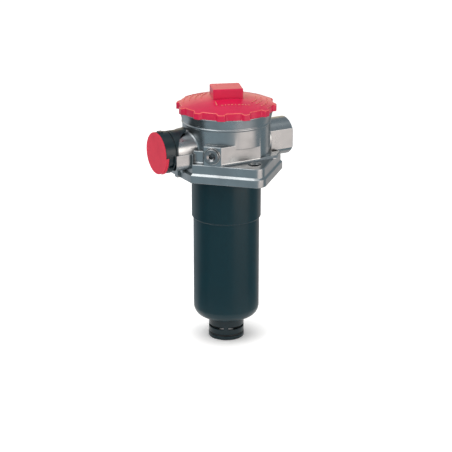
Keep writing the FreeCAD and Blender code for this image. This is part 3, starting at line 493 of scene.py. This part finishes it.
cover_finish = moulded_finish(
    "cover_red_plastic", colour=(0.78, 0.012, 0.080), worn_and_highlit=(0.92, 0.12, 0.13),
    rough=0.34, gloss=0.22, grain_size=900.0, coat=0.36,
)
# painted highlight: a paler red for the upward-tilted rounded faces of the upper rim
rim_highlight_finish = moulded_finish(
    "cover_rim_painted_highlight", colour=(0.94, 0.15, 0.125), worn_and_highlit=(0.96, 0.28, 0.22),
    rough=0.30, gloss=0.40, grain_size=900.0, coat=0.4,
)
cover = joined_copy("cover", "cover_moulding")
cover.data.materials.append(cover_finish)
cover.data.materials.append(rim_highlight_finish)
rim_inside = 0.051
steepest_highlit = 0.35
flattest_highlit = 0.88
# the rounded rim faces that tilt upward take the painted highlight
for face in cover.data.polygons:
    reach = math.hypot(face.center.x, face.center.y)
    if reach > rim_inside and steepest_highlit < face.normal.z < flattest_highlit:
        face.material_index = 1
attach(cover, "cover")
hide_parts("cover")

# The block is a little longer and wider than the solid's
block_turn = math.radians(25.0)
block_reach = (0.0178, 0.0159)
block_foot = 0.0885
block_growth = (1.055, 1.03)
for corner in cover.data.vertices:
    spot = Matrix.Rotation(-block_turn, 3, "Z") @ corner.co
    if spot.z > block_foot and abs(spot.x) < block_reach[0] and abs(spot.y) < block_reach[1]:
        spot = Vector((spot.x * block_growth[0], spot.y * block_growth[1], spot.z))
        corner.co = Matrix.Rotation(block_turn, 3, "Z") @ spot


# Cover marks
# Small bars stand on the cover's dome: a rib, a row in front of the block, and arcs at the sides.
# They come out of the same mould as the cover, and are coloured a paler red than it as a painted
# highlight.

# painted highlight: the marks are coloured paler than the cover to stand for glints on them
mark_highlight_finish = moulded_finish(
    "cover_mark_painted_highlight", colour=(0.94, 0.20, 0.15), worn_and_highlit=(0.96, 0.34, 0.26),
    rough=0.30, gloss=0.5, grain_size=900.0, coat=0.5,
)
mark_width = 0.0012
mark_rise = 0.0006
mark_round = 0.0002
mark_length = 0.0026
mark_smooth_deg = 40.0
rib_length = 0.012
rib_side = -0.0165
rib_front = 0.0275
row_start = -0.0105
row_step = 0.0040
row_count = 9
row_front = 0.0345
row_lean_deg = 20.0
arc_count = 7
arc_step_deg = 7.0
left_first_deg = -112.0
left_radii = (0.030, 0.037, 0.044, 0.051)
right_first_deg = 74.0
right_radii = (0.036, 0.042, 0.049)
above_cover = 1.0


def raised_bar(bar_name, length):
    """One small bar with rounded edges, as the mould leaves it on the dome."""
    bpy.ops.object.select_all(action="DESELECT")
    bpy.ops.mesh.primitive_cube_add(size=1.0)
    bar = bpy.context.object
    bar.name = bar_name
    bpy.ops.object.mode_set(mode="EDIT")
    bpy.ops.mesh.select_all(action="SELECT")
    bpy.ops.transform.resize(value=(length, mark_width, 2 * mark_rise))
    bpy.ops.mesh.bevel(offset=mark_round, segments=2)
    bpy.ops.object.mode_set(mode="OBJECT")
    bpy.ops.object.shade_smooth_by_angle(angle=math.radians(mark_smooth_deg))
    return bar


def set_on_dome(bar, x, y, turn):
    """Copy of the bar that lies on the cover's top at x and y."""
    above = Vector((x, y, above_cover))
    foot, normal = cover.ray_cast(above, Vector((0.0, 0.0, -1.0)))[1:3]
    along = Vector((math.cos(turn), math.sin(turn), 0.0))
    across = normal.cross(along).normalized()
    along = across.cross(normal)
    seat = Matrix((along, across, normal)).transposed().to_4x4()
    mark = bpy.data.objects.new(bar.name, bar.data.copy())
    mark.data.transform(Matrix.Translation(foot) @ seat)
    bpy.context.scene.collection.objects.link(mark)
    return mark


bpy.context.view_layer.update()
short_bar = raised_bar("short_bar", mark_length)
long_bar = raised_bar("long_bar", rib_length)
marks = []
front = Vector((math.sin(block_turn), -math.cos(block_turn)))
side = Vector((math.cos(block_turn), math.sin(block_turn)))
rib_place = side * rib_side + front * rib_front
marks.append(set_on_dome(long_bar, rib_place.x, rib_place.y, block_turn - math.radians(90.0)))
for i in range(row_count):
    spot = side * (row_start + row_step * i) + front * row_front
    lean = math.radians(90.0 if i % 3 == 1 else row_lean_deg * (i % 2))
    marks.append(set_on_dome(short_bar, spot.x, spot.y, block_turn + lean))
for first_deg, radii in ((left_first_deg, left_radii), (right_first_deg, right_radii)):
    for radius in radii:
        for i in range(arc_count):
            a = math.radians(first_deg + arc_step_deg * i)
            marks.append(set_on_dome(short_bar, radius * math.sin(a), -radius * math.cos(a), a))
for bar in (short_bar, long_bar):
    bpy.data.objects.remove(bar)
bpy.ops.object.select_all(action="DESELECT")
for mark in marks:
    mark.select_set(True)
bpy.context.view_layer.objects.active = marks[0]
bpy.ops.object.join()
cover_marks = bpy.context.object
cover_marks.name = "cover_marks"
cover_marks.data.materials.append(mark_highlight_finish)
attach(cover_marks, "cover")


# Coupling sleeve
# A black sleeve with a latch window is pushed over the inlet neck and holds the pipe.
# It is moulded in one piece with its ring, its lug and its long tongue.

sleeve_finish = moulded_finish(
    "sleeve_black_plastic", colour=(0.002, 0.017, 0.024), worn_and_highlit=(0.05, 0.08, 0.09),
    rough=0.34, gloss=0.42, grain_size=1500.0,
)
sleeve = joined_copy("port_sleeve", "sleeve_moulding")
sleeve.data.materials.append(sleeve_finish)
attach(sleeve, "housing")
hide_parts("port_sleeve")


# Protective cap
# A thin red cap closes the inlet until the pipe is fitted; its tab pulls it off.
# It is moulded in a soft matt plastic and only pushed into the sleeve.

cap_finish = moulded_finish(
    "cap_red_plastic", colour=(0.84, 0.035, 0.080), worn_and_highlit=(0.90, 0.14, 0.16),
    rough=0.50, gloss=0.25, grain_size=700.0, grain_depth=0.00003,
)
cap = joined_copy("protective_cap", "cap_moulding")
cap.data.materials.append(cap_finish)
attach(cap, "cap")
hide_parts("protective_cap")


# Screw plug
# A short steel plug with a hexagon socket closes the gauge port, on a bonded seal.
# Both are turned from bar; the plug is passivated dark and the seal is left bright.

plug_finish = metal_finish(
    "plug_dark_steel", colour=(0.30, 0.30, 0.305), rubbed_and_highlit=(0.80, 0.80, 0.80),
    rough=0.26, grain_size=1200.0, grain_depth=0.00002, painted_shade_share=0.5,
)
seal_finish = metal_finish(
    "seal_ring_metal", colour=(0.66, 0.60, 0.57), rubbed_and_highlit=(0.92, 0.88, 0.86),
    rough=0.25, grain_size=1200.0, grain_depth=0.00001, painted_shade_share=0.5,
)
for node, finish, slot in (
    ("screw_plug", plug_finish, "plug_steel"), ("plug_seal", seal_finish, "seal_metal")
):
    piece = joined_copy(node, node + "_turned")
    piece.data.materials.append(finish)
    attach(piece, "housing")
    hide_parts(node)


# Filter element
# A pleated medium round a slotted steel core hangs on the cover, between two glued caps.
# The bypass valve's cage and disc sit inside it, and a wire clip holds it on the cover's hub.

element_finish = moulded_finish(
    "element_dark_plastic", colour=(0.05, 0.05, 0.055), worn_and_highlit=(0.16, 0.16, 0.17),
    rough=0.42, gloss=0.4, grain_size=1300.0,
)
paper_finish = moulded_finish(
    "pleated_paper", colour=(0.72, 0.66, 0.50), worn_and_highlit=(0.80, 0.76, 0.64),
    rough=0.85, gloss=0.2, grain_size=2600.0, grain_depth=0.00004,
)
core_finish = metal_finish(
    "core_zinc_steel", colour=(0.56, 0.57, 0.58), rubbed_and_highlit=(0.85, 0.85, 0.86),
    rough=0.32, grain_size=800.0, grain_depth=0.00001, painted_shade_share=0.4,
)
valve_finish = moulded_finish(
    "valve_pale_plastic", colour=(0.50, 0.50, 0.46), worn_and_highlit=(0.62, 0.62, 0.60),
    rough=0.40, gloss=0.4, grain_size=1300.0,
)
wire_finish = metal_finish(
    "spring_bright_steel", colour=(0.50, 0.50, 0.52), rubbed_and_highlit=(0.80, 0.80, 0.82),
    rough=0.25, grain_size=1500.0, grain_depth=0.00001, painted_shade_share=0.4,
)
pleat_smooth_deg = 20.0
inner_finishes = {
    "element_top_cap": element_finish, "element_bottom_cap": element_finish,
    "element_media": paper_finish, "element_core": core_finish,
    "bypass_cage": valve_finish, "bypass_cone": valve_finish, "hub_clip": wire_finish,
}
inner_bodies = {
    node: body for body, nodes in frame["record"]["behaviour"]["bodies"].items() for node in nodes
}
for node, finish in inner_finishes.items():
    smooth_deg = pleat_smooth_deg if finish == paper_finish else smooth_up_to_deg
    piece = joined_copy(node, node + "_fitted", smooth_deg)
    piece.data.materials.append(finish)
    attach(piece, inner_bodies[node])
    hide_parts(node)


# Bypass spring
# A coil of bright spring wire holds the valve's disc shut inside the cage.

wire_smooth_deg = 60.0
spring = joined_copy("bypass_spring", "spring_coil", wire_smooth_deg)
spring.data.materials.append(wire_finish)
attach(spring, "cartridge")
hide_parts("bypass_spring")
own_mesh(spring)


# Floor and backdrop
# A plain pale floor keeps the soft shadow under the filter, and the room behind it is white.
# The floor glows a little to the eye and in mirror images, and least right under the part, so part
# of the soft shadow there is painted shadow.

floor_gap = 0.0004
floor_size = 14.0
near_reach = 0.01
far_reach = 0.07
near_glow = 0.16
far_glow = 0.66
room_level = 0.45

floor_z = cad_low.z - floor_gap
bpy.ops.mesh.primitive_plane_add(size=floor_size, location=(0.0, 0.0, floor_z))
floor = bpy.context.object
floor.name = "floor"
floor_finish = bpy.data.materials.new("pale_floor")
floor_finish.use_nodes = True
floor_tree = floor_finish.node_tree
floor_shader = floor_tree.nodes["Principled BSDF"]
floor_shader.inputs["Base Color"].default_value = (0.88, 0.88, 0.88, 1.0)
floor_shader.inputs["Roughness"].default_value = 0.9
floor_shader.inputs["Specular IOR Level"].default_value = 0.0
floor_shader.inputs["Emission Color"].default_value = (1.0, 1.0, 1.0, 1.0)
distance = floor_tree.nodes.new("ShaderNodeVectorMath")
distance.operation = "LENGTH"
floor_place = floor_tree.nodes.new("ShaderNodeTexCoord").outputs["Object"]
floor_tree.links.new(floor_place, distance.inputs[0])
# the glow fades toward the part: a painted shadow that deepens the real one
glow = ranged(floor_tree, distance.outputs["Value"], near_reach, far_reach, near_glow, far_glow)
glow.node.interpolation_type = "SMOOTHSTEP"
floor_rays = floor_tree.nodes.new("ShaderNodeLightPath").outputs
seen_or_mirrored = math_node(
    floor_tree, "MAXIMUM", floor_rays["Is Camera Ray"], floor_rays["Is Glossy Ray"]
)
floor_glow = math_node(floor_tree, "MULTIPLY", seen_or_mirrored, glow)
floor_tree.links.new(floor_glow, floor_shader.inputs["Emission Strength"])
floor.data.materials.append(floor_finish)

world = bpy.data.worlds.new("white_room")
bpy.context.scene.world = world
world.use_nodes = True
room_tree = world.node_tree
room_light = room_tree.nodes["Background"]
seen_room = room_tree.nodes.new("ShaderNodeBackground")
for room, level in ((room_light, room_level), (seen_room, 1.0)):
    room.inputs["Color"].default_value = (1.0, 1.0, 1.0, 1.0)
    room.inputs["Strength"].default_value = level
rays = room_tree.nodes.new("ShaderNodeLightPath").outputs
straight = math_node(room_tree, "MAXIMUM", rays["Is Camera Ray"], rays["Is Glossy Ray"])
straight = math_node(room_tree, "MAXIMUM", straight, rays["Is Transmission Ray"])
room_mix = room_tree.nodes.new("ShaderNodeMixShader")
room_tree.links.new(straight, room_mix.inputs[0])
room_tree.links.new(room_light.outputs[0], room_mix.inputs[1])
room_tree.links.new(seen_room.outputs[0], room_mix.inputs[2])
room_tree.links.new(room_mix.outputs[0], room_tree.nodes["World Output"].inputs["Surface"])


# Lights
# Three soft studio boxes of cloth over lamps stand round the set.
# A large one hangs above, the key is at the left front, and a warm one is low on the right.

view_azimuth = math.radians(15.9)
view_elevation = math.radians(18.43)
lit_middle = Vector((0.0, 0.0, -0.03))


def around(azimuth_deg, elevation_deg, distance):
    """Point at an angle to the right of the camera and above the floor, seen from the filter."""
    a = view_azimuth + math.radians(azimuth_deg)
    e = math.radians(elevation_deg)
    flat = Vector((math.sin(a), -math.cos(a), 0.0)) * math.cos(e)
    return (flat + Vector((0.0, 0.0, math.sin(e)))) * distance


def soft_box(name, azimuth_deg, elevation_deg, distance, width, height, power, colour):
    """Area lamp that faces the filter's middle."""
    lamp = bpy.data.lights.new(name, "AREA")
    lamp.shape = "RECTANGLE"
    lamp.size = width
    lamp.size_y = height
    lamp.energy = power
    lamp.color = colour
    holder = bpy.data.objects.new(name, lamp)
    bpy.context.scene.collection.objects.link(holder)
    holder.location = lit_middle + around(azimuth_deg, elevation_deg, distance)
    holder.rotation_euler = (holder.location - lit_middle).to_track_quat("Z", "Y").to_euler()


soft_box(
    "top_box", azimuth_deg=-10.0, elevation_deg=76.0, distance=1.3,
    width=1.5, height=1.5, power=6.5, colour=(1.0, 0.98, 0.95),
)
soft_box(
    "key_box", azimuth_deg=-48.0, elevation_deg=42.0, distance=1.5,
    width=1.0, height=1.0, power=6.0, colour=(1.0, 0.99, 0.98),
)
soft_box(
    "side_box", azimuth_deg=52.0, elevation_deg=14.0, distance=1.5,
    width=0.9, height=0.6, power=3.5, colour=(1.0, 0.93, 0.86),
)


# Flags
# Curved glowing sheets of grey, cream and warm colour stand round the set, lie round its foot and
# roof it.
# Only mirror images show them: they paint the dark and warm bands reflected in the bright metal.

flag_steps = 16


def flag(name, start_deg, end_deg, rows, colour):
    """Glowing sheet, seen only in mirror images, from one angle right of the camera to another;
    its rows give reach and height.
    """
    corners = []
    faces = []
    for i in range(flag_steps + 1):
        a = view_azimuth + math.radians(start_deg + (end_deg - start_deg) * i / flag_steps)
        for reach, height in rows:
            corners.append((reach * math.sin(a), -reach * math.cos(a), floor_z + height))
    count = len(rows)
    for i in range(flag_steps):
        for j in range(count - 1):
            k = i * count + j
            faces.append((k, k + 1, k + count + 1, k + count))
    mesh = bpy.data.meshes.new(name)
    mesh.from_pydata(corners, [], faces)
    sheet = bpy.data.objects.new(name, mesh)
    bpy.context.scene.collection.objects.link(sheet)
    finish = bpy.data.materials.new(name + "_cloth")
    finish.use_nodes = True
    tree = finish.node_tree
    tree.nodes.remove(tree.nodes["Principled BSDF"])
    sheet_glow = tree.nodes.new("ShaderNodeEmission")
    sheet_glow.inputs["Color"].default_value = (*colour, 1.0)
    sheet_glow.inputs["Strength"].default_value = 1.0
    tree.links.new(sheet_glow.outputs[0], tree.nodes["Material Output"].inputs["Surface"])
    sheet.data.materials.append(finish)
    sheet.visible_camera = False
    sheet.visible_diffuse = False
    sheet.visible_shadow = False
    sheet.visible_transmission = False


near_rows = ((0.12, 0.002), (0.55, 0.002))
foot_rows = ((0.12, 0.002), (0.5, 0.002), (1.6, 0.002), (1.75, 0.25))
upper_rows = ((1.75, 0.25), (1.75, 1.1))
wall_rows = (*foot_rows, (1.75, 1.1))
warm_rows = ((0.55, 0.002), (1.6, 0.002), (1.75, 0.25), (1.75, 1.1))
roof_rows = ((1.75, 1.1), (1.5, 1.7), (0.9, 2.1), (0.02, 2.2))
flag("front_flag", -60.0, 24.0, wall_rows, (0.38, 0.48, 0.53))
flag("near_flag", 24.0, 76.0, near_rows, (0.62, 0.65, 0.68))
flag("warm_flag", 24.0, 76.0, warm_rows, (1.55, 1.36, 1.27))
flag("right_flag", 76.0, 124.0, wall_rows, (0.24, 0.32, 0.36))
flag("grey_flag", 124.0, 165.0, foot_rows, (0.60, 0.58, 0.57))
flag("dark_flag", 124.0, 165.0, upper_rows, (0.24, 0.32, 0.36))
flag("back_flag", 165.0, 210.0, foot_rows, (0.30, 0.35, 0.38))
flag("pale_flag", 210.0, 258.0, foot_rows, (0.55, 0.60, 0.64))
flag("left_flag", 258.0, 300.0, wall_rows, (0.20, 0.27, 0.31))
flag("cream_flag", 165.0, 215.0, upper_rows, (1.05, 0.90, 0.66))
flag("roof_flag", 0.0, 360.0, roof_rows, (0.30, 0.36, 0.40))


# Camera
# It stands where the photograph was taken from, and sees the same square.
# Its place was fitted to the flange, the ports, the cover and the bowl.

view_field = math.radians(15.13)
view_distance = 2.076
aim_height = -0.0710
aim_left = 0.00037

camera_data = bpy.data.cameras.new("camera")
camera_data.sensor_width = 36.0
camera_data.lens = camera_data.sensor_width / 2 / math.tan(view_field / 2)
camera_data.clip_start = 0.1
camera_data.clip_end = 50.0
camera = bpy.data.objects.new("camera", camera_data)
bpy.context.scene.collection.objects.link(camera)
back = around(0.0, math.degrees(view_elevation), 1.0)
to_right = Vector((math.cos(view_azimuth), math.sin(view_azimuth), 0.0))
aim = Vector((0.0, 0.0, aim_height)) - to_right * aim_left
camera.location = aim + back * view_distance
camera.rotation_mode = "QUATERNION"
camera.rotation_quaternion = back.to_track_quat("Z", "Y")
bpy.context.scene.camera = camera
bpy.context.scene.view_settings.view_transform = "Standard"
